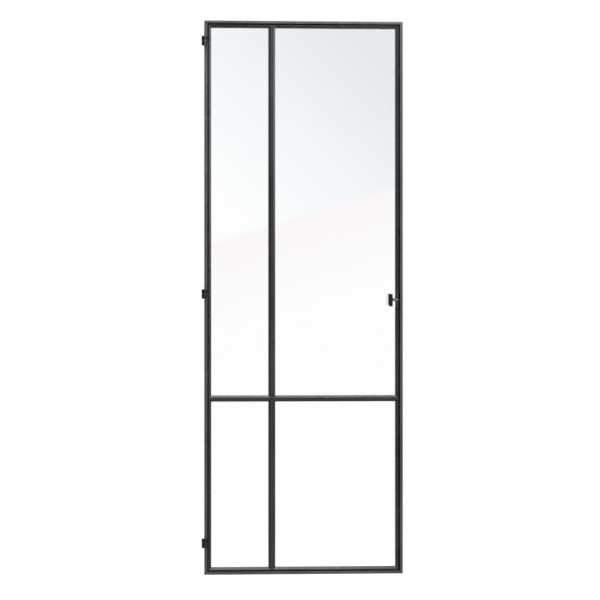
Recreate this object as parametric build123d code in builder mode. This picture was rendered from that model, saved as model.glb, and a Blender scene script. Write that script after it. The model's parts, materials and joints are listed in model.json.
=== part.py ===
"""Hinged steel glass door in its fixed steel frame, at real size, in millimetres.

The wall face of the hinge jamb lies in the plane x = 0. The origin is on that face, at floor level and
halfway through the frame's depth. +X runs to the lock side, -Y is the side that the leaf opens to, and
+Z is up.
"""

import os
from collections import namedtuple

from build123d import *

os.makedirs("parts", exist_ok=True)

Outline = namedtuple("Outline", "left right bottom top")
LOW_CORNER = (Align.MIN, Align.MIN)

# Fixed frame: mitred steel tube with a stop flange
frame_width = 762
frame_height = 2120
frame_face = 11
frame_depth = 56
tube_wall = 2
tube_corner = 2.5
stop_width = 12
stop_thickness = 5
anchor_radius = 3.75
anchor_end = 200
anchor_count = 4
sleeve_wall = 2

# Room that the leaf needs to swing and to close. Its back corner swings out towards the lock jamb.
leaf_gap = 5
lock_gap = 6.5
stop_gap = 5

# Leaf: mitred angle round the outside, tee bars between the panes, sloped beads in front of the glass
leaf_depth = 34
stile_web = 3
mullion_web = 12
transom_web = 9
flange_thickness = 4
bead_width = 7
bead_recess = 3
bead_slope = 6
bead_wall = 1.5
mullion_x = 258.5
transom_z = 673

# Glass and its tape
glass_thickness = 8
glass_edge_gap = 3
tape_thickness = 1.5
tape_setback = 0.5
notch_gap = 1
notch_corner = 3

# Lift-off hinges
hinge_low = 122
hinge_middle = 1074
hinge_top_drop = 79
hinge_x = -2.75
knuckle_radius = 8.25
knuckle_height = 17.5
knuckle_chamfer = 1.2
knuckle_gap = 1.6
knuckle_standoff = 1.5
pin_radius = 4
pin_length = 12
pin_clearance = 0.08
pin_end_gap = 1
arm_thickness = 4
arm_height = 10
arm_lift = 4
foot_setback = 0.5
pad_width = 6
pad_setback = 1

# Turning handle
handle_height = 1052
rose_height = 38
rose_thickness = 3
rose_corner = 3
spindle_radius = 3
spindle_depth = 12
spindle_end_gap = 1
spindle_clearance = 0.08
turning_gap = 0.3
neck_radius = 4.5
neck_bend = 9
neck_standoff = 19
grip_reach = 27.5
grip_width = 16
grip_height = 50
grip_depth = 16
grip_drop = 1
grip_slope = 3.5
chin_width = 6
chin_height = 7.5
grip_corner = 2
grip_edge = 1.2
flare_length = 9
flare_radius = 6.5

# Lock block and latch bolt, which is drawn back
block_height = 60
bolt_radius = 4
bolt_setback = 0.5
bolt_length = 8
bolt_clearance = 0.15
bolt_end_gap = 0.5
bolt_nose = 1
bolt_from_flange = 8
strike_clearance = 1

# Depths, from the opening side to the back
front = -frame_depth / 2
leaf_back = front + leaf_depth
stop_front = leaf_back + stop_gap
flange_front = leaf_back - flange_thickness
glass_back = flange_front - tape_thickness
glass_front = glass_back - glass_thickness
bead_back = glass_front - tape_thickness
bead_front = front + bead_recess
bolt_y = flange_front - bolt_from_flange
hinge_y = front - knuckle_standoff - knuckle_radius
neck_root = front - rose_thickness - turning_gap
grip_y = front - rose_thickness - neck_standoff

# Widths seen from the front
rim = stile_web + bead_width
mullion_width = mullion_web + 2 * bead_width
transom_width = transom_web + 2 * bead_width
leaf_edge = frame_face + leaf_gap


def inset(outline, amount):
    """The outline moved inwards on all four sides."""
    return Outline(
        outline.left + amount, outline.right - amount, outline.bottom + amount, outline.top - amount
    )


frame_outline = Outline(0, frame_width, 0, frame_height)
leaf = Outline(leaf_edge, frame_width - frame_face - lock_gap, leaf_edge, frame_height - leaf_edge)
web_ends = inset(leaf, stile_web)
flange_ends = inset(leaf, rim)
mullion_left = mullion_x - mullion_web / 2
mullion_right = mullion_x + mullion_web / 2
transom_bottom = transom_z - transom_web / 2
transom_top = transom_z + transom_web / 2
pockets = {
    "upper_left": Outline(web_ends.left, mullion_left, transom_top, web_ends.top),
    "upper_right": Outline(mullion_right, web_ends.right, transom_top, web_ends.top),
    "lower_left": Outline(web_ends.left, mullion_left, web_ends.bottom, transom_bottom),
    "lower_right": Outline(mullion_right, web_ends.right, web_ends.bottom, transom_bottom),
}
anchor_step = (frame_height - 2 * anchor_end) / (anchor_count - 1)
anchor_heights = [anchor_end + anchor_step * i for i in range(anchor_count)]
hinge_heights = {"low": hinge_low, "middle": hinge_middle, "top": frame_height - hinge_top_drop}
spindle_x = leaf.right - rim / 2
grip_x = spindle_x - grip_reach
grip_face_x = grip_x + grip_width / 2
grip_z = handle_height - grip_drop
block = Outline(
    leaf.right - rim, web_ends.right, handle_height - block_height / 2, handle_height + block_height / 2
)
notch = Outline(block.left - notch_gap, block.right, block.bottom - notch_gap, block.top + notch_gap)


def elevation(y):
    """The upright plane at depth y. What is extruded from it comes forward, to the opening side."""
    return Plane.XZ.offset(-y)


def draw(outline, corner=0, mode=Mode.ADD):
    """A rectangle in the sketch at hand, with rounded corners if asked."""
    width = outline.right - outline.left
    height = outline.top - outline.bottom
    with Locations(((outline.left + outline.right) / 2, (outline.bottom + outline.top) / 2)):
        if corner:
            RectangleRounded(width, height, corner, mode=mode)
        else:
            Rectangle(width, height, mode=mode)


def write(part, label):
    """Names a finished piece and writes its file."""
    part.label = label
    export_step(part, f"parts/{label}.step")


def ring(outline):
    """The start plane and length of each member round an outline. Local x points inwards, y to the back."""
    width = outline.right - outline.left
    height = outline.top - outline.bottom
    left_foot = (outline.left, 0, outline.bottom)
    left_head = (outline.left, 0, outline.top)
    right_head = (outline.right, 0, outline.top)
    right_foot = (outline.right, 0, outline.bottom)
    return {
        "left": (Plane(left_foot, x_dir=(1, 0, 0), z_dir=(0, 0, 1)), height),
        "top": (Plane(left_head, x_dir=(0, 0, -1), z_dir=(1, 0, 0)), width),
        "right": (Plane(right_head, x_dir=(-1, 0, 0), z_dir=(0, 0, -1)), height),
        "bottom": (Plane(right_foot, x_dir=(0, 0, 1), z_dir=(-1, 0, 0)), width),
    }


def mitred(plane, length, section):
    """A member on that section, cut at 45 degrees at both ends, longest along its outer face."""
    far_end = plane.origin + plane.z_dir * length
    with BuildPart() as member:
        with BuildSketch(plane):
            section()
        extrude(amount=length)
        split(bisect_by=Plane(plane.origin, z_dir=plane.z_dir - plane.x_dir), keep=Keep.TOP)
        split(bisect_by=Plane(far_end, z_dir=-plane.z_dir - plane.x_dir), keep=Keep.TOP)
    return member.part


def frame_section():
    """Hollow tube with the stop flange on its inner face."""
    with Locations((frame_face / 2, 0)):
        RectangleRounded(frame_face, frame_depth, tube_corner)
    with Locations((frame_face - tube_wall, stop_front)):
        Rectangle(tube_wall + stop_width, stop_thickness, align=LOW_CORNER)
    with Locations((frame_face / 2, 0)):
        Rectangle(frame_face - 2 * tube_wall, frame_depth - 2 * tube_wall, mode=Mode.SUBTRACT)


def stile_section():
    """Steel angle: the web along the leaf's edge and the flange behind the glass."""
    with Locations((0, front)):
        Rectangle(stile_web, leaf_depth, align=LOW_CORNER)
    with Locations((0, flange_front)):
        Rectangle(rim, flange_thickness, align=LOW_CORNER)


def bead_section():
    """Small hollow bead that holds the glass. Its front slopes back towards the pane."""
    Polygon(
        (0, bead_front),
        (bead_width, bead_front + bead_slope),
        (bead_width, bead_back),
        (0, bead_back),
        align=None,
    )
    offset(amount=-bead_wall, kind=Kind.INTERSECTION, mode=Mode.SUBTRACT)


def anchor_holes(middle_x):
    """Sleeved holes for the wall anchors, straight through a jamb."""
    with Locations(*(Location((middle_x, 0, height), (0, 90, 0)) for height in anchor_heights)):
        Cylinder(anchor_radius + sleeve_wall, frame_face - tube_wall)
        Cylinder(anchor_radius, frame_face, mode=Mode.SUBTRACT)


def spindle_bore():
    """The hole for the handle's spindle, from the front."""
    depth = spindle_depth + spindle_end_gap
    with Locations(Location((spindle_x, front, handle_height), (90, 0, 0))):
        Cylinder(spindle_radius + spindle_clearance, 2 * depth, mode=Mode.SUBTRACT)


def bolt_bore():
    """The blind hole for the latch bolt, from the leaf's lock edge."""
    depth = bolt_setback + bolt_length + bolt_end_gap
    with Locations(Location((leaf.right, bolt_y, handle_height), (0, 90, 0))):
        Cylinder(bolt_radius + bolt_clearance, 2 * depth, mode=Mode.SUBTRACT)


def glazing_bar(web, flange):
    """A tee bar. Its web stands forward of the flange and is longer, to meet the webs at its ends."""
    with BuildPart() as bar:
        with BuildSketch(elevation(leaf_back)):
            draw(flange)
        extrude(amount=flange_thickness)
        with BuildSketch(elevation(flange_front)):
            draw(web)
        extrude(amount=flange_front - front)
    return bar.part


# Fixed frame
frame_ring = ring(frame_outline)

with BuildPart() as frame_hinge_jamb:
    add(mitred(*frame_ring["left"], frame_section))
    anchor_holes(frame_face / 2)
write(frame_hinge_jamb.part, "frame_hinge_jamb")

with BuildPart() as frame_lock_jamb:
    add(mitred(*frame_ring["right"], frame_section))
    anchor_holes(frame_width - frame_face / 2)
    with Locations(Location((frame_width - frame_face, bolt_y, handle_height), (0, 90, 0))):
        Cylinder(bolt_radius + strike_clearance, frame_face, mode=Mode.SUBTRACT)
write(frame_lock_jamb.part, "frame_lock_jamb")

write(mitred(*frame_ring["top"], frame_section), "frame_head")
write(mitred(*frame_ring["bottom"], frame_section), "frame_sill")

# Edge of the leaf
leaf_ring = ring(leaf)

write(mitred(*leaf_ring["left"], stile_section), "leaf_hinge_stile")
write(mitred(*leaf_ring["top"], stile_section), "leaf_top_rail")
write(mitred(*leaf_ring["bottom"], stile_section), "leaf_bottom_rail")

with BuildPart() as leaf_lock_stile:
    add(mitred(*leaf_ring["right"], stile_section))
    spindle_bore()
    bolt_bore()
write(leaf_lock_stile.part, "leaf_lock_stile")

# Bars between the panes: the transom runs through, and the mullion stands above and hangs below it
transom_flange_bottom = transom_z - transom_width / 2
transom_flange_top = transom_z + transom_width / 2
mullion_flange_left = mullion_x - mullion_width / 2
mullion_flange_right = mullion_x + mullion_width / 2

write(
    glazing_bar(
        web=Outline(web_ends.left, web_ends.right, transom_bottom, transom_top),
        flange=Outline(flange_ends.left, flange_ends.right, transom_flange_bottom, transom_flange_top),
    ),
    "leaf_transom",
)
write(
    glazing_bar(
        web=Outline(mullion_left, mullion_right, transom_top, web_ends.top),
        flange=Outline(mullion_flange_left, mullion_flange_right, transom_flange_top, flange_ends.top),
    ),
    "leaf_mullion_upper",
)
write(
    glazing_bar(
        web=Outline(mullion_left, mullion_right, web_ends.bottom, transom_bottom),
        flange=Outline(
            mullion_flange_left, mullion_flange_right, flange_ends.bottom, transom_flange_bottom
        ),
    ),
    "leaf_mullion_lower",
)

# Beads, four to a pane. The one beside the lock block is in two lengths.
for pane, pocket in pockets.items():
    for side, (plane, length) in ring(pocket).items():
        bead = mitred(plane, length, bead_section)
        if (pane, side) == ("upper_right", "right"):
            with BuildPart() as high_bead:
                add(bead)
                split(bisect_by=Plane.XY.offset(block.top), keep=Keep.TOP)
            write(high_bead.part, "bead_upper_right_right_high")
            with BuildPart() as low_bead:
                add(bead)
                split(bisect_by=Plane.XY.offset(block.bottom), keep=Keep.BOTTOM)
            write(low_bead.part, "bead_upper_right_right_low")
        else:
            write(bead, f"bead_{pane}_{side}")

# Glass, and the tape on either side of it
for pane, pocket in pockets.items():
    with BuildPart() as glass:
        with BuildSketch(elevation(glass_back)):
            draw(inset(pocket, glass_edge_gap))
            if pane == "upper_right":
                draw(notch, corner=notch_corner, mode=Mode.SUBTRACT)
        extrude(amount=glass_thickness)
    write(glass.part, f"glass_{pane}")

for label, depth in (("glazing_tape_back", flange_front), ("glazing_tape_front", glass_front)):
    with BuildPart() as tape:
        with BuildSketch(elevation(depth)):
            for pocket in pockets.values():
                draw(inset(pocket, glass_edge_gap))
                draw(inset(pocket, bead_width - tape_setback), mode=Mode.SUBTRACT)
            draw(notch, mode=Mode.SUBTRACT)
        extrude(amount=tape_thickness)
    write(tape.part, label)

# Lock block and latch bolt
with BuildPart() as lock_block:
    with BuildSketch(elevation(flange_front)):
        draw(block)
    extrude(amount=flange_front - front)
    spindle_bore()
    bolt_bore()
write(lock_block.part, "lock_block")

bolt_face = Plane((leaf.right - bolt_setback, bolt_y, handle_height), x_dir=(0, 1, 0), z_dir=(-1, 0, 0))
with BuildPart() as latch_bolt:
    with BuildSketch(bolt_face):
        Circle(bolt_radius)
    extrude(amount=bolt_length)
    chamfer(edges().filter_by(GeomType.CIRCLE).sort_by(Axis.X)[-1], length=bolt_nose)
write(latch_bolt.part, "latch_bolt")

# Hinges: the lower knuckle and its pin are on the frame, the upper knuckle is on the leaf
for place, height in hinge_heights.items():
    seat = height + knuckle_gap / 2
    with BuildPart() as leaf_half:
        with BuildSketch(Plane.XY.offset(seat)):
            with Locations((hinge_x, hinge_y)):
                Circle(knuckle_radius)
        extrude(amount=knuckle_height)
        chamfer(edges().filter_by(GeomType.CIRCLE).sort_by(Axis.Z)[-1], length=knuckle_chamfer)
        with BuildSketch(Plane.XY.offset(seat + arm_lift)):
            with Locations((hinge_x, hinge_y - arm_thickness / 2)):
                Rectangle(web_ends.left - hinge_x, arm_thickness, align=LOW_CORNER)
            with Locations((leaf.left + foot_setback, hinge_y)):
                Rectangle(stile_web - foot_setback, front - hinge_y, align=LOW_CORNER)
        extrude(amount=arm_height)
        with BuildSketch(Plane.XY.offset(seat)):
            with Locations((hinge_x, hinge_y)):
                Circle(pin_radius + pin_clearance)
        extrude(amount=pin_length + pin_end_gap, mode=Mode.SUBTRACT)
    write(leaf_half.part, f"hinge_{place}_leaf_half")

    shoulder = height - knuckle_gap / 2
    with BuildPart() as frame_half:
        with BuildSketch(Plane.XY.offset(shoulder - knuckle_height)):
            with Locations((hinge_x, hinge_y)):
                Circle(knuckle_radius)
        extrude(amount=knuckle_height)
        chamfer(edges().filter_by(GeomType.CIRCLE).sort_by(Axis.Z)[0], length=knuckle_chamfer)
        with BuildSketch(Plane.XY.offset(shoulder - knuckle_height + pad_setback)):
            with Locations((tube_corner, hinge_y)):
                Rectangle(pad_width, front - hinge_y, align=LOW_CORNER)
        extrude(amount=knuckle_height - 2 * pad_setback)
        with BuildSketch(Plane.XY.offset(shoulder)):
            with Locations((hinge_x, hinge_y)):
                Circle(pin_radius)
        extrude(amount=knuckle_gap + pin_length)
    write(frame_half.part, f"hinge_{place}_frame_half")

# Handle
with BuildPart() as handle_rose:
    with BuildSketch(elevation(front)):
        with Locations((spindle_x, handle_height)):
            RectangleRounded(rim, rose_height, rose_corner)
            Circle(spindle_radius + spindle_clearance, mode=Mode.SUBTRACT)
    extrude(amount=rose_thickness)
write(handle_rose.part, "handle_rose")

neck_start = (spindle_x, neck_root, handle_height)
neck_corner = (spindle_x, grip_y, handle_height)
neck_end = (grip_face_x, grip_y, handle_height)
flare_start = (grip_face_x + flare_length, grip_y, handle_height)
with BuildPart() as handle_neck:
    with BuildLine() as neck_line:
        FilletPolyline(neck_start, neck_corner, neck_end, radius=neck_bend)
    with BuildSketch(Plane(neck_start, z_dir=(0, -1, 0))):
        Circle(neck_radius)
    sweep(path=neck_line.line)
    with BuildSketch(Plane(neck_start, z_dir=(0, 1, 0))):
        Circle(spindle_radius)
    extrude(amount=rose_thickness + turning_gap + spindle_depth)
    flare_middle = ((neck_end[0] + flare_start[0]) / 2, grip_y, handle_height)
    with Locations(Location(flare_middle, (0, -90, 0))):
        Cone(neck_radius, flare_radius, flare_length)
write(handle_neck.part, "handle_neck")

half_width = grip_width / 2
half_height = grip_height / 2
grip_points = [
    (-half_width, half_height),
    (half_width, half_height - grip_slope),
    (half_width, -half_height),
    (chin_width - half_width, -half_height),
    (-half_width, chin_height - half_height),
]
with BuildPart() as handle_grip:
    with BuildSketch(elevation(grip_y + grip_depth / 2)):
        with Locations((grip_x, grip_z)):
            Polygon(*grip_points, align=None)
        fillet(vertices(), radius=grip_corner)
    extrude(amount=grip_depth)
    chamfer(faces().filter_by(Axis.Y).edges(), length=grip_edge)
write(handle_grip.part, "handle_grip")
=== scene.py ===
"""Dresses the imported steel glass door: materials, small fasteners, welds, light and camera.

Metres, in the frame's own axes: x from the hinge side to the lock side, -y towards the viewer, z up.
"""
import json
import math
import random

import bmesh
import bpy
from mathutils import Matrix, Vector


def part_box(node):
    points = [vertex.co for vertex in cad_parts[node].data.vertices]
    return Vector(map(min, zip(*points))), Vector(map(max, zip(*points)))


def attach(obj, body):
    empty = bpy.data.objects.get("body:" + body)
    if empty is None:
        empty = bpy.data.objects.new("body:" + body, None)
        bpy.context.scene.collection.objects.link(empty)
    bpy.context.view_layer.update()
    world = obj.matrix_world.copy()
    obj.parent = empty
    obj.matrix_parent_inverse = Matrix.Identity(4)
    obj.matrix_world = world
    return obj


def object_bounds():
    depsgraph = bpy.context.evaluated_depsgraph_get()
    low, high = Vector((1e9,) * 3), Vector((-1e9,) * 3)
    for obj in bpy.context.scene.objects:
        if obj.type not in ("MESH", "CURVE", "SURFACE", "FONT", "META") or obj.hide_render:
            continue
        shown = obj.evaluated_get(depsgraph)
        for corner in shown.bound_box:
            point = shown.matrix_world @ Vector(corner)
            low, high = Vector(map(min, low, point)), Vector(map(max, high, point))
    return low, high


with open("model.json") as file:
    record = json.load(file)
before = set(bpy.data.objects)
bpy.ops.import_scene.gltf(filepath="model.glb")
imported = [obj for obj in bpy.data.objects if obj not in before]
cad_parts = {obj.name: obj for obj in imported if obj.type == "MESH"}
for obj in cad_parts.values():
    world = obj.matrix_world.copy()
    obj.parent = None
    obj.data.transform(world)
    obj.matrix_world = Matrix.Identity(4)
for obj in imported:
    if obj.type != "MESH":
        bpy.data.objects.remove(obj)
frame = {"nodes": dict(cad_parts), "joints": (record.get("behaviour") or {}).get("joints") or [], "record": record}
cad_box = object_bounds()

MM = 0.001
random.seed(7)

# How the photograph frames the door: 600 pixels square, nearly straight on from a little to the left
PHOTO_SIZE = 600
DOOR_CENTRE_PX = (303.95, 297.6)
DOOR_HEIGHT_PX = 553.2
CAMERA_DISTANCE = 9.0
CAMERA_YAW = math.radians(3.6)
SENSOR = 36.0

# Colours of the finishes, linear
STEEL_DARK = (0.016, 0.017, 0.018)
STEEL_LIGHT = (0.030, 0.031, 0.033)
# The frame is the same paint as the leaf; these lighter frame tones are painted light, standing in for the light
# the frame catches
FRAME_LIT_DARK = (0.036, 0.037, 0.039)
FRAME_LIT_LIGHT = (0.062, 0.064, 0.067)
HINGE_DARK = (0.005, 0.005, 0.005)
HINGE_LIGHT = (0.010, 0.010, 0.011)
RUBBED = (0.100, 0.102, 0.105)
BARE_METAL = (0.40, 0.41, 0.42)
GRIP_DARK = (0.005, 0.005, 0.005)
RUBBER_DARK = (0.012, 0.012, 0.012)
GLASS_TINT = (0.975, 0.99, 0.985)
GLASS_SHADOW = (0.93, 0.95, 0.95)

# How dark the neck, the screws and the washers are, as shares of the bare metal's colour
NECK_TONE = 0.42
SCREW_TONE = 0.35
WASHER_TONE = 0.5

# How fine each pattern in the finishes is, in noise cells for a metre
DRIFT_SCALE = 3.1
GLASS_HAZE_SCALE = 7.0
BLACK_HAZE_SCALE = 25.0
MOTTLE_SCALE = 46.0
BRUSH_SCALE = 60.0
RUB_SCALE = 210.0
RIPPLE_SCALE = 700.0
PEEL_SCALE = 900.0
PLASTIC_GRAIN = 1800.0
RUBBER_GRAIN = 2400.0

# Which way the brushed or turned lines run: the noise is packed six times closer across them
LINES_ALONG_X = (1.0, 6.0, 6.0)
LINES_ROUND_X = (6.0, 1.0, 1.0)
LINES_ROUND_Y = (1.0, 6.0, 1.0)
LINES_ROUND_Z = (1.0, 1.0, 6.0)

# Colours of the studio, linear
WHITE = (1.0, 1.0, 1.0)
COOL_WHITE = (0.96, 0.98, 1.0)
ROOM_GREY = (0.8, 0.8, 0.8)
FLOOR_WHITE = (0.86, 0.86, 0.86)
SKY_PALE = (0.52, 0.64, 0.82)
SKY_DEEP = (0.0, 0.06, 0.25)
HAZE = (0.92, 0.60, 0.72)
DIM_SIDE = (0.16, 0.16, 0.165)
AMBIENT_DIM = (0.07, 0.07, 0.073)
AMBIENT_BRIGHT = (0.62, 0.63, 0.65)

# Where the mirrored sky ends on the glass: the line's height at each side of the door
SKY_LINE_HINGE_SIDE = 1.26
SKY_LINE_LOCK_SIDE = 1.49

# How deep the sky is: on its line at each side of the door, and how much it gains from there to the head
DEPTH_HINGE_SIDE = -0.23
DEPTH_LOCK_SIDE = 0.66
DEPTH_GAIN = 0.58

# How far the pink haze reaches under the line and how soft the line is, as shares of the sky's height
HAZE_DEPTH = -0.6
SKY_LINE_BLUR = 0.02

nodes = frame["nodes"]
slots = {entry["node"]: entry["material_slot"] for entry in frame["record"]["subparts"]}
cad_low, cad_high = cad_box
jamb_low, jamb_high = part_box("frame_hinge_jamb")
lock_jamb_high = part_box("frame_lock_jamb")[1]


class Graph:
    """Short words for building a node tree."""

    def __init__(self, tree):
        self.tree = tree
        tree.nodes.clear()

    def add(self, kind, values=None, **settings):
        node = self.tree.nodes.new(kind)
        for key, value in settings.items():
            setattr(node, key, value)
        for key, value in (values or {}).items():
            self.feed(node.inputs[key], value)
        return node

    def feed(self, socket, value):
        if isinstance(value, bpy.types.NodeSocket):
            self.tree.links.new(value, socket)
        elif isinstance(value, tuple) and len(value) == 3 and socket.type == "RGBA":
            socket.default_value = (*value, 1.0)
        else:
            socket.default_value = value

    def math(self, operation, *values, clamp=False):
        node = self.add("ShaderNodeMath", operation=operation, use_clamp=clamp)
        for socket, value in zip(node.inputs, values):
            self.feed(socket, value)
        return node.outputs[0]

    def mix(self, factor, first, second):
        node = self.add("ShaderNodeMix", data_type="RGBA")
        self.feed(node.inputs["Factor"], factor)
        self.feed(node.inputs["A"], first)
        self.feed(node.inputs["B"], second)
        return node.outputs["Result"]

    def mix_shaders(self, factor, first, second):
        node = self.add("ShaderNodeMixShader")
        for socket, value in zip(node.inputs, (factor, first, second)):
            self.feed(socket, value)
        return node.outputs["Shader"]

    def spread(self, value, low, high, to_low=0.0, to_high=1.0):
        values = {"Value": value, "From Min": low, "From Max": high, "To Min": to_low, "To Max": to_high}
        return self.add("ShaderNodeMapRange", values).outputs["Result"]

    def noise(self, place, scale, detail=4.0, roughness=0.55):
        values = {"Vector": place, "Scale": scale, "Detail": detail, "Roughness": roughness}
        return self.add("ShaderNodeTexNoise", values).outputs["Fac"]

    def bump(self, surface, height, strength, distance):
        values = {"Height": height, "Strength": strength, "Distance": distance}
        self.feed(surface.inputs["Normal"], self.add("ShaderNodeBump", values).outputs["Normal"])


def scaled(colour, share):
    """A colour made darker or lighter by that share."""
    return tuple(channel * share for channel in colour)


def new_material(name):
    """A material with its graph, its surface shader, its output socket and its object coordinates."""
    made = bpy.data.materials.new(name)
    made.use_nodes = True
    graph = Graph(made.node_tree)
    surface = graph.add("ShaderNodeBsdfPrincipled")
    output = graph.add("ShaderNodeOutputMaterial").inputs["Surface"]
    graph.feed(output, surface.outputs["BSDF"])
    place = graph.add("ShaderNodeTexCoord").outputs["Object"]
    return made, graph, surface, output, place


def painted_steel(name, dark, light, gloss=0.34, worn=0.25, shine=0.17):
    """Powder coat with soft drift in tone, small rubbed specks and fine orange peel."""
    made, graph, surface, _, place = new_material(name)
    drift = graph.noise(place, DRIFT_SCALE, 3.0)
    mottle = graph.noise(place, MOTTLE_SCALE, 5.0, 0.6)
    tone = graph.math("ADD", graph.math("MULTIPLY", drift, 0.7), graph.math("MULTIPLY", mottle, 0.3))
    paint = graph.mix(graph.spread(tone, 0.36, 0.64), dark, light)
    rub = graph.spread(graph.noise(place, RUB_SCALE, 4.0, 0.7), 0.66, 0.80, 0.0, worn)
    roughness = graph.spread(mottle, 0.3, 0.7, gloss - 0.05, gloss + 0.09)
    graph.feed(surface.inputs["Base Color"], graph.mix(rub, paint, RUBBED))
    graph.feed(surface.inputs["Roughness"], roughness)
    surface.inputs["Specular IOR Level"].default_value = shine
    graph.bump(surface, graph.noise(place, PEEL_SCALE, 2.0), 0.10, 0.4 * MM)
    return made


def bare_steel(name, colour, lines_run, gloss=0.22):
    """Turned or brushed steel: fine lines that run round or along the piece."""
    made, graph, surface, _, place = new_material(name)
    stretched = graph.add("ShaderNodeMapping", {"Vector": place, "Scale": lines_run})
    lines = graph.noise(stretched.outputs["Vector"], BRUSH_SCALE, 6.0, 0.65)
    tone = graph.mix(graph.spread(lines, 0.35, 0.65), scaled(colour, 0.72), colour)
    graph.feed(surface.inputs["Base Color"], tone)
    graph.feed(surface.inputs["Roughness"], graph.spread(lines, 0.3, 0.7, gloss, gloss + 0.14))
    surface.inputs["Metallic"].default_value = 1.0
    graph.bump(surface, lines, 0.12, 0.2 * MM)
    return made


def soft_black(name, colour, grain, rough):
    """Rubber or moulded plastic with a fine grain."""
    made, graph, surface, _, place = new_material(name)
    surface.inputs["Specular IOR Level"].default_value = 0.14
    cells = graph.add("ShaderNodeTexVoronoi", {"Vector": place, "Scale": grain}).outputs["Distance"]
    haze = graph.noise(place, BLACK_HAZE_SCALE, 3.0)
    tone = graph.mix(graph.spread(haze, 0.35, 0.7), colour, scaled(colour, 1.7))
    graph.feed(surface.inputs["Base Color"], tone)
    graph.feed(surface.inputs["Roughness"], graph.spread(haze, 0.3, 0.7, rough - 0.06, rough + 0.06))
    graph.bump(surface, cells, 0.15, 0.2 * MM)
    return made


def clear_glass(name):
    """Coated clear glass: light goes straight on through its shadow, and both faces mirror."""
    made, graph, surface, output, place = new_material(name)
    haze = graph.spread(graph.noise(place, GLASS_HAZE_SCALE, 4.0), 0.45, 0.75, 0.0, 0.012)
    graph.feed(surface.inputs["Base Color"], GLASS_TINT)
    graph.feed(surface.inputs["Roughness"], haze)
    surface.inputs["Transmission Weight"].default_value = 1.0
    surface.inputs["IOR"].default_value = 1.52
    surface.inputs["Coat Weight"].default_value = 1.0
    surface.inputs["Coat Roughness"].default_value = 0.0
    surface.inputs["Coat IOR"].default_value = 1.68
    shadow = graph.add("ShaderNodeLightPath").outputs["Is Shadow Ray"]
    clear = graph.add("ShaderNodeBsdfTransparent", {"Color": GLASS_SHADOW})
    graph.feed(output, graph.mix_shaders(shadow, surface.outputs["BSDF"], clear.outputs["BSDF"]))
    return made


def weld_metal(name):
    """Weld seam under the same paint, with ripples that catch the light; the ripple crests are also painted
    lighter, a painted highlight.
    """
    made, graph, surface, _, place = new_material(name)
    ripple = graph.noise(place, RIPPLE_SCALE, 4.0, 0.6)
    # Painted highlight: the noise that raises the ripples also makes the paint lighter on their crests and darker
    # in their hollows
    graph.feed(surface.inputs["Base Color"], graph.mix(ripple, STEEL_DARK, FRAME_LIT_DARK))
    graph.feed(surface.inputs["Roughness"], graph.spread(ripple, 0.3, 0.7, 0.34, 0.5))
    graph.bump(surface, ripple, 0.3, 0.4 * MM)
    return made


materials = {
    # Painted light: the frame gets a lighter copy of the leaf's paint
    "frame": painted_steel("frame_paint_with_painted_light", FRAME_LIT_DARK, FRAME_LIT_LIGHT, shine=0.28),
    "leaf": painted_steel("leaf_paint", STEEL_DARK, STEEL_LIGHT),
    "bead": painted_steel("bead_paint", STEEL_DARK, STEEL_LIGHT, gloss=0.30),
    "hinge": painted_steel("hinge_paint", HINGE_DARK, HINGE_LIGHT, gloss=0.30, worn=0.3, shine=0.18),
    "rose": painted_steel("rose_paint", STEEL_DARK, STEEL_LIGHT, gloss=0.26, worn=0.4),
    "glass": clear_glass("clear_glass"),
    "tape": soft_black("tape_rubber", RUBBER_DARK, RUBBER_GRAIN, rough=0.7),
    "grip": soft_black("grip_plastic", GRIP_DARK, PLASTIC_GRAIN, rough=0.42),
    "neck": bare_steel("neck_steel", scaled(BARE_METAL, NECK_TONE), LINES_ALONG_X),
    "bolt": bare_steel("bolt_steel", BARE_METAL, LINES_ROUND_X),
    "screw": bare_steel("screw_steel", scaled(BARE_METAL, SCREW_TONE), LINES_ROUND_Y),
    "weld": weld_metal("weld_paint"),
    "washer": bare_steel("washer_steel", scaled(BARE_METAL, WASHER_TONE), LINES_ROUND_Z),
}

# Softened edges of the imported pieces, in millimetres
BEVEL_WIDTH = {"frame": 0.5, "leaf": 0.5, "bead": 0.3, "glass": 0.6, "rose": 0.5, "hinge": 0.4}
BEVEL_SEGMENTS = 2
BEVEL_ANGLE = math.radians(40)

for name, piece in nodes.items():
    slot = slots[name]
    piece.data.materials.clear()
    piece.data.materials.append(materials[slot])
    if slot in BEVEL_WIDTH:
        softened = piece.modifiers.new("softened_edges", "BEVEL")
        softened.width = BEVEL_WIDTH[slot] * MM
        softened.segments = BEVEL_SEGMENTS
        softened.limit_method = "ANGLE"
        softened.angle_limit = BEVEL_ANGLE
        softened.harden_normals = False


def make_piece(name, mesh_builder, body, material):
    """Turns a bmesh into a piece that rides on a body."""
    mesh = bpy.data.meshes.new(name)
    mesh_builder.normal_update()
    mesh_builder.to_mesh(mesh)
    mesh_builder.free()
    mesh.materials.append(materials[material])
    made = bpy.data.objects.new(name, mesh)
    bpy.context.scene.collection.objects.link(made)
    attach(made, body)


def turn_profile(target, profile, centre, facing, steps=24):
    """Adds a turned form to the mesh. Profile is (radius, height) from the rim to the middle."""
    turn = Vector((0, 0, 1)).rotation_difference(Vector(facing)).to_matrix()
    centre = Vector(centre)
    rings = []
    for radius, height in profile:
        ring = []
        for i in range(steps if radius else 1):
            angle = 2 * math.pi * i / steps
            point = Vector((radius * math.cos(angle), radius * math.sin(angle), height))
            ring.append(target.verts.new(centre + turn @ point))
        rings.append(ring)
    for lower, upper in zip(rings, rings[1:]):
        for i in range(steps):
            j = (i + 1) % steps
            if len(upper) == 1:
                target.faces.new((lower[i], lower[j], upper[0]))
            else:
                target.faces.new((lower[i], lower[j], upper[j], upper[i]))
    for face in target.faces:
        face.smooth = True


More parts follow.
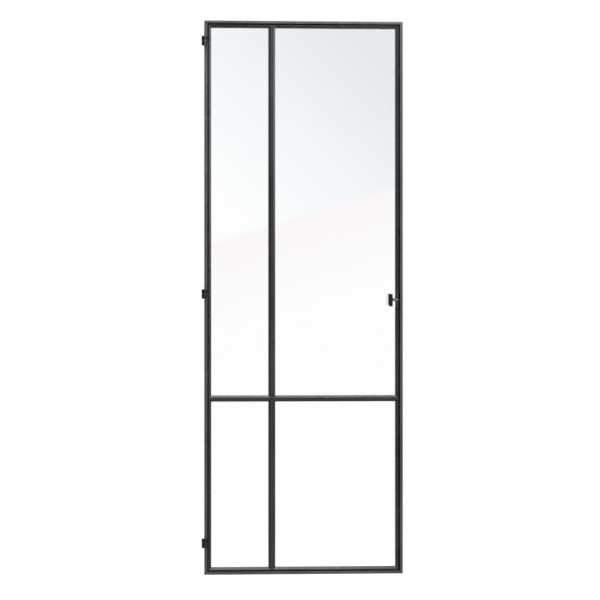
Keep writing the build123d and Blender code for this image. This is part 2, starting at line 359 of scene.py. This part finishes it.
def screw_profile(radius, rise):
    """A raised countersunk head with a round socket."""
    socket = radius * 0.42
    return [
        (radius * 0.75, -rise),
        (radius, 0.0),
        (radius * 0.97, rise * 0.35),
        (radius * 0.70, rise * 0.90),
        (socket * 1.12, rise),
        (socket, rise * 0.85),
        (socket * 0.86, -rise * 0.6),
        (0.0, -rise * 0.75),
    ]


# Two screws that hold the rose, over and under the neck
ROSE_SCREW_RADIUS = 2.1 * MM
ROSE_SCREW_RISE = 0.7 * MM
ROSE_SCREW_SPACING = 25 * MM

rose_low, rose_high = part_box("handle_rose")
rose_x = (rose_low.x + rose_high.x) / 2
rose_z = (rose_low.z + rose_high.z) / 2
rose_screws = bmesh.new()
for side in (-0.5, 0.5):
    place = (rose_x, rose_low.y, rose_z + side * ROSE_SCREW_SPACING)
    turn_profile(rose_screws, screw_profile(ROSE_SCREW_RADIUS, ROSE_SCREW_RISE), place, (0, -1, 0))
make_piece("rose_screws", rose_screws, "leaf", "screw")

# Screws that hold the beads, on the side of each bead that faces its pane
BEAD_SCREW_PITCH = 300 * MM
BEAD_SCREW_END = 60 * MM
BEAD_SCREW_RADIUS = 1.7 * MM
BEAD_SCREW_RISE = 0.45 * MM
BEAD_SCREW_STEPS = 16
BEAD_SLOPE = 6 * MM
INWARD = {"left": (1, 0, 0), "right": (-1, 0, 0), "bottom": (0, 0, 1), "top": (0, 0, -1)}

bead_screws = bmesh.new()
bead_screw = screw_profile(BEAD_SCREW_RADIUS, BEAD_SCREW_RISE)
for name in sorted(nodes):
    if slots[name] != "bead":
        continue
    low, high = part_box(name)
    side = name.split("_")[3]
    upright = high.z - low.z > high.x - low.x
    start, end = (low.z, high.z) if upright else (low.x, high.x)
    count = max(2, round((end - start) / BEAD_SCREW_PITCH) + 1)
    step = (end - start - 2 * BEAD_SCREW_END) / (count - 1)
    face = Vector(INWARD[side])
    depth = (low.y + BEAD_SLOPE + high.y) / 2
    for i in range(count):
        along = start + BEAD_SCREW_END + step * i
        if upright:
            place = (high.x if face.x > 0 else low.x, depth, along)
        else:
            place = (along, depth, high.z if face.z > 0 else low.z)
        turn_profile(bead_screws, bead_screw, place, face, BEAD_SCREW_STEPS)
make_piece("bead_screws", bead_screws, "leaf", "screw")

# Weld seams: a bead's radius, the step along it, how its ripples swell, and how its ends taper
WELD_RADIUS = 1.0 * MM
WELD_STEP = 0.45 * MM
WELD_SIDES = 10
WELD_RIPPLE = 0.14
WELD_RIPPLE_TURN = 1.05
WELD_UNEVEN = 0.04
WELD_TIP = 0.45
WELD_TAPER = 4


def weld_run(target, start, end, radius):
    """A rippled weld seam, half sunk along its line."""
    start, end = Vector(start), Vector(end)
    along = (end - start).normalized()
    side = along.orthogonal().normalized()
    up = along.cross(side)
    steps = max(6, int((end - start).length / WELD_STEP))
    rings = []
    for i in range(steps + 1):
        t = i / steps
        ripple = 1 - WELD_RIPPLE + WELD_RIPPLE * abs(math.sin(i * WELD_RIPPLE_TURN))
        swell = radius * (ripple + random.uniform(-WELD_UNEVEN, WELD_UNEVEN))
        swell *= min(1.0, WELD_TIP + WELD_TAPER * min(t, 1 - t))
        centre = start.lerp(end, t)
        ring = []
        for k in range(WELD_SIDES):
            angle = 2 * math.pi * k / WELD_SIDES
            outward = side * math.cos(angle) + up * math.sin(angle)
            ring.append(target.verts.new(centre + outward * swell))
        rings.append(ring)
    for first, second in zip(rings, rings[1:]):
        for k in range(WELD_SIDES):
            m = (k + 1) % WELD_SIDES
            target.faces.new((first[k], first[m], second[m], second[k]))
    target.faces.new(rings[0][::-1])
    target.faces.new(rings[-1])
    for face in target.faces:
        face.smooth = True


# The washer between the two halves of each hinge
WASHER_RADIUS = 7.4 * MM
WASHER_HOLE = 4.3 * MM
WASHER_PLAY = 0.1 * MM
WASHER_STEPS = 40
KNUCKLE_HEIGHT = 17.5 * MM

# The seams round each hinge's pad on the jamb, and over and under its arm's foot on the stile
PAD_WELD_START = 2.9 * MM
PAD_SIDE = 8.5 * MM
PAD_INSET = 1 * MM
FOOT_WELD_START = 0.8 * MM
FOOT_WELD_END = 2.8 * MM
FOOT_LIFT = 4 * MM
FOOT_HEIGHT = 10 * MM
FOOT_WELD_SHARE = 0.8

swing = next(joint for joint in frame["joints"] if joint["name"] == "leaf_swing")
stile_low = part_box("leaf_hinge_stile")[0]
for place_name in ("low", "middle", "top"):
    frame_half_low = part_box(f"hinge_{place_name}_frame_half")[0]
    leaf_half_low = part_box(f"hinge_{place_name}_leaf_half")[0]
    knuckle_top = frame_half_low.z + KNUCKLE_HEIGHT
    thickness = leaf_half_low.z - knuckle_top - WASHER_PLAY
    washer = bmesh.new()
    ring = [
        (WASHER_HOLE, thickness),
        (WASHER_HOLE, 0.0),
        (WASHER_RADIUS * 0.97, 0.0),
        (WASHER_RADIUS, thickness * 0.2),
        (WASHER_RADIUS, thickness * 0.8),
        (WASHER_RADIUS * 0.97, thickness),
        (WASHER_HOLE, thickness),
    ]
    centre = (swing["pos_m"][0], swing["pos_m"][1], knuckle_top)
    turn_profile(washer, ring, centre, (0, 0, 1), WASHER_STEPS)
    make_piece(f"hinge_{place_name}_washer", washer, "frame", "washer")

    bottom, top = frame_half_low.z + PAD_INSET, knuckle_top - PAD_INSET
    seam = bmesh.new()
    weld_run(seam, (PAD_SIDE, jamb_low.y, bottom), (PAD_SIDE, jamb_low.y, top), WELD_RADIUS)
    for z in (bottom, top):
        weld_run(seam, (PAD_WELD_START, jamb_low.y, z), (PAD_SIDE, jamb_low.y, z), WELD_RADIUS)
    make_piece(f"hinge_{place_name}_pad_weld", seam, "frame", "weld")

    start, end = stile_low.x + FOOT_WELD_START, stile_low.x + FOOT_WELD_END
    bottom = leaf_half_low.z + FOOT_LIFT
    seam = bmesh.new()
    for z in (bottom, bottom + FOOT_HEIGHT):
        weld_run(seam, (start, stile_low.y, z), (end, stile_low.y, z), WELD_RADIUS * FOOT_WELD_SHARE)
    make_piece(f"hinge_{place_name}_foot_weld", seam, "leaf", "weld")

# Camera
scale = DOOR_HEIGHT_PX / (jamb_high.z - cad_low.z)
offset_x = (DOOR_CENTRE_PX[0] - PHOTO_SIZE / 2) / scale
offset_z = (DOOR_CENTRE_PX[1] - PHOTO_SIZE / 2) / scale
aim = Vector(((jamb_low.x + lock_jamb_high.x) / 2 - offset_x, jamb_low.y, lock_jamb_high.z / 2 + offset_z))
back = Vector((-math.sin(CAMERA_YAW), -math.cos(CAMERA_YAW), 0))
lens = bpy.data.cameras.new("camera")
lens.sensor_width = SENSOR
lens.lens = scale * SENSOR * CAMERA_DISTANCE / PHOTO_SIZE
camera = bpy.data.objects.new("camera", lens)
camera.location = aim + back * CAMERA_DISTANCE
camera.rotation_euler = (-back).to_track_quat("-Z", "Y").to_euler()
bpy.context.scene.collection.objects.link(camera)
bpy.context.scene.camera = camera
bpy.context.scene.view_settings.view_transform = "Standard"

# Floor: its size, its gap under the door, its share of glow under the door, and where that grows to full
FLOOR_SPAN = 30.0
FLOOR_GAP = 0.5 * MM
FLOOR_GLOW = 0.72
FLOOR_FADE_START = 0.5
FLOOR_FADE_END = 1.6


def floor_material():
    """White floor: bright as the backdrop to the camera, with a soft share of real shadow."""
    made = bpy.data.materials.new("floor_white")
    made.use_nodes = True
    graph = Graph(made.node_tree)
    diffuse = graph.add("ShaderNodeBsdfDiffuse", {"Color": FLOOR_WHITE}).outputs["BSDF"]
    glow = graph.add("ShaderNodeEmission", {"Color": WHITE, "Strength": 1.0}).outputs["Emission"]
    place = graph.add("ShaderNodeTexCoord").outputs["Object"]
    away = graph.add("ShaderNodeVectorMath", {"Vector": place}, operation="LENGTH").outputs["Value"]
    share = graph.spread(away, FLOOR_FADE_START, FLOOR_FADE_END, FLOOR_GLOW, 1.0)
    path = graph.add("ShaderNodeLightPath").outputs
    seen = graph.math("MAXIMUM", path["Is Camera Ray"], path["Is Transmission Ray"])
    seen = graph.math("MAXIMUM", seen, path["Is Glossy Ray"])
    surface = graph.mix_shaders(seen, diffuse, graph.mix_shaders(share, diffuse, glow))
    graph.feed(graph.add("ShaderNodeOutputMaterial").inputs["Surface"], surface)
    return made


corners = [(x * FLOOR_SPAN, y * FLOOR_SPAN, 0) for x, y in ((-1, -1), (1, -1), (1, 1), (-1, 1))]
floor_mesh = bpy.data.meshes.new("floor")
floor_mesh.from_pydata(corners, [], [(0, 1, 2, 3)])
floor_mesh.materials.append(floor_material())
floor = bpy.data.objects.new("floor", floor_mesh)
centre = (cad_low + cad_high) / 2
floor.location = (centre.x, centre.y, cad_low.z - FLOOR_GAP)
bpy.context.scene.collection.objects.link(floor)

# A mirrored ray counts as facing the viewer's side when it runs this far to -y
FACING_LIMIT = 0.02

# Mirrored rays to the hinge side are dim: fully from the first of these x directions, not from the second
DIM_SIDE_FULL = -0.9
DIM_SIDE_NONE = -0.3

# Soft light grows towards the top and, by this share, towards the lock side, over this range
KEY_LEAN = 0.6
KEY_DIM = -0.9
KEY_BRIGHT = 1.1


def mirrored_run(x, z):
    """How far a ray that the glass mirrors at (x, z) runs across and up for each metre ahead."""
    ahead = jamb_low.y - camera.location.y
    return (x - camera.location.x) / ahead, (z - camera.location.z) / ahead


def mirrored_sky(graph, parts, towards):
    """The sky over its slanting line and the haze under it, as the glass mirrors them."""
    left_across, left_rise = mirrored_run(jamb_low.x, SKY_LINE_HINGE_SIDE)
    right_across, right_rise = mirrored_run(lock_jamb_high.x, SKY_LINE_LOCK_SIDE)
    sky_slope = (right_rise - left_rise) / (right_across - left_across)
    sky_rise = left_rise - sky_slope * left_across
    sky_height = mirrored_run(lock_jamb_high.x, lock_jamb_high.z)[1] - right_rise

    ahead = graph.math("MAXIMUM", towards, FACING_LIMIT)
    rise = graph.math("DIVIDE", parts["Z"], ahead)
    across = graph.math("DIVIDE", parts["X"], ahead)
    edge = graph.math("ADD", graph.math("MULTIPLY", across, sky_slope), sky_rise)
    over = graph.math("SUBTRACT", rise, edge)
    blur = SKY_LINE_BLUR * sky_height
    side_depth = graph.spread(across, left_across, right_across, DEPTH_HINGE_SIDE, DEPTH_LOCK_SIDE)
    gain = graph.math("MULTIPLY", over, DEPTH_GAIN / sky_height)
    depth = graph.math("ADD", side_depth, gain, clamp=True)
    pale_sky = graph.mix(graph.spread(depth, 0.0, 0.5), WHITE, SKY_PALE)
    sky = graph.mix(graph.spread(depth, 0.5, 1.0), pale_sky, SKY_DEEP)
    ground = graph.mix(graph.spread(over, HAZE_DEPTH * sky_height, 0.0), WHITE, HAZE)
    return graph.mix(graph.spread(over, -blur, blur), ground, sky)


def studio_world():
    """White to the camera, sky and room to what mirrors it, and soft light from above to the rest."""
    world = bpy.data.worlds.new("studio")
    bpy.context.scene.world = world
    world.use_nodes = True
    graph = Graph(world.node_tree)
    ray = graph.add("ShaderNodeTexCoord").outputs["Generated"]
    parts = graph.add("ShaderNodeSeparateXYZ", {"Vector": ray}).outputs
    towards = graph.math("MULTIPLY", parts["Y"], -1.0)
    facing = graph.math("GREATER_THAN", towards, FACING_LIMIT)
    glossy = graph.mix(facing, ROOM_GREY, mirrored_sky(graph, parts, towards))
    glossy = graph.mix(graph.spread(parts["X"], DIM_SIDE_FULL, DIM_SIDE_NONE), DIM_SIDE, glossy)
    key_side = graph.math("ADD", graph.math("MULTIPLY", parts["X"], KEY_LEAN), parts["Z"])
    ambient = graph.mix(graph.spread(key_side, KEY_DIM, KEY_BRIGHT), AMBIENT_DIM, AMBIENT_BRIGHT)
    path = graph.add("ShaderNodeLightPath").outputs
    mirrored_once = graph.math("GREATER_THAN", path["Glossy Depth"], 0.5)
    straight = graph.math("SUBTRACT", path["Is Transmission Ray"], mirrored_once, clamp=True)
    plain = graph.math("MAXIMUM", path["Is Camera Ray"], straight)
    shiny = graph.math("MAXIMUM", path["Is Glossy Ray"], path["Is Transmission Ray"])
    colour = graph.mix(plain, graph.mix(shiny, ambient, glossy), WHITE)
    background = graph.add("ShaderNodeBackground", {"Color": colour, "Strength": 1.0})
    graph.feed(graph.add("ShaderNodeOutputWorld").inputs["Surface"], background.outputs["Background"])


def soft_light(name, place, aim, size, power, colour=WHITE, mirrored=False):
    """A square area light that points at a place. Only some show in the steel and the glass."""
    lamp = bpy.data.lights.new(name, "AREA")
    lamp.size = size
    lamp.energy = power
    lamp.color = colour
    holder = bpy.data.objects.new(name, lamp)
    holder.location = place
    holder.rotation_euler = (Vector(aim) - Vector(place)).to_track_quat("-Z", "Y").to_euler()
    bpy.context.scene.collection.objects.link(holder)
    holder.visible_camera = False
    holder.visible_transmission = False
    holder.visible_glossy = mirrored


studio_world()
soft_light("overhead", (0.4, -0.85, 3.4), (0.4, -0.25, 0.6), 1.5, power=106, colour=COOL_WHITE, mirrored=True)
soft_light("right", (2.5, -0.7, 2.1), (0.4, 0, 1.5), 1.4, power=60, mirrored=True)
soft_light("left", (-1.6, -2.4, 2.4), (0.6, 0, 1.6), 1.4, power=14)
soft_light("back", (1.2, 2.4, 2.4), (0.4, 0, 1.0), 1.6, power=26)
